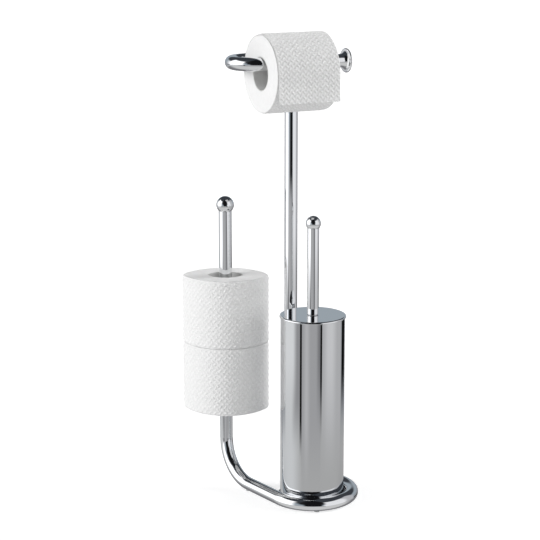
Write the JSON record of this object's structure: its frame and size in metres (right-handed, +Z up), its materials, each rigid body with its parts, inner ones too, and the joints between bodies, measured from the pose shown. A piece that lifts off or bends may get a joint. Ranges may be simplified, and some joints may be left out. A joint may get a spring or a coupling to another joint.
{
  "type": "toilet roll and brush stand",
  "caption": "Free-standing bent-tube chrome stand with a toilet roll on a U-shaped arm, spare rolls on a rod and a lidded toilet brush canister",
  "frame": {"origin": "on the floor, on the axis of the brush canister", "axes": "+Z up, the roll arm runs along X with its capped end towards +X, and the upright stands on the +Y side"},
  "size_m": [0.1961, 0.2312, 0.6467],
  "materials": {
    "chrome": "polished mirror plating",
    "steel": "plain satin",
    "plastic": "fine matte moulding",
    "rubber": "matte",
    "silicone": "clear, satin",
    "paper": "soft embossed tissue",
    "cardboard": "plain grey board"
  },
  "bodies": {
    "stand": {"base_frame": "chrome", "spare_rod_finial": "chrome", "roll_rest": "chrome", "support_plate": "steel", "plate_pad": "rubber", "floor_pads": "silicone", "upright_spigot": "steel", "spigot_screw": "steel", "upper_frame": "chrome", "arm_end_cap": "chrome"},
    "canister": {"canister_shell": "chrome", "canister_base": "steel", "drip_cup": "plastic"},
    "brush": {"brush_lid": "chrome", "lid_insert": "plastic", "brush_handle": "chrome", "handle_finial": "chrome", "handle_plug": "steel", "brush_stem": "steel", "stem_nut": "steel", "brush_core": "plastic", "brush_bristles": "plastic"},
    "sheet_end": {"hanging_sheet": "paper"},
    "hanging_roll": {"hanging_roll": "paper", "hanging_roll_core": "cardboard"},
    "spare_lower": {"spare_roll_lower": "paper", "spare_core_lower": "cardboard"},
    "spare_upper": {"spare_roll_upper": "paper", "spare_core_upper": "cardboard"}
  },
  "joints": [
    {"name": "canister_lift", "type": "slide", "parent": "stand", "child": "canister", "axis": [0, 0, 1], "range_m": [0, 0.03]},
    {"name": "brush_lift", "type": "slide", "parent": "canister", "child": "brush", "axis": [0, 0, 1], "range_m": [0, 0.105]},
    {"name": "roll_slide", "type": "slide", "parent": "stand", "child": "sheet_end", "axis": [1, 0, 0], "range_m": [-0.003, 0.0265]},
    {"name": "roll_spin", "type": "hinge", "parent": "sheet_end", "child": "hanging_roll", "pos_m": [-0.03357, 0.00001, 0.5938], "axis": [1, 0, 0], "continuous": true},
    {"name": "spare_lower_lift", "type": "slide", "parent": "stand", "child": "spare_lower", "axis": [0, 0, 1], "range_m": [0, 0.08]},
    {"name": "spare_upper_lift", "type": "slide", "parent": "spare_lower", "child": "spare_upper", "axis": [0, 0, 1], "range_m": [0, 0.208]}
  ]
}
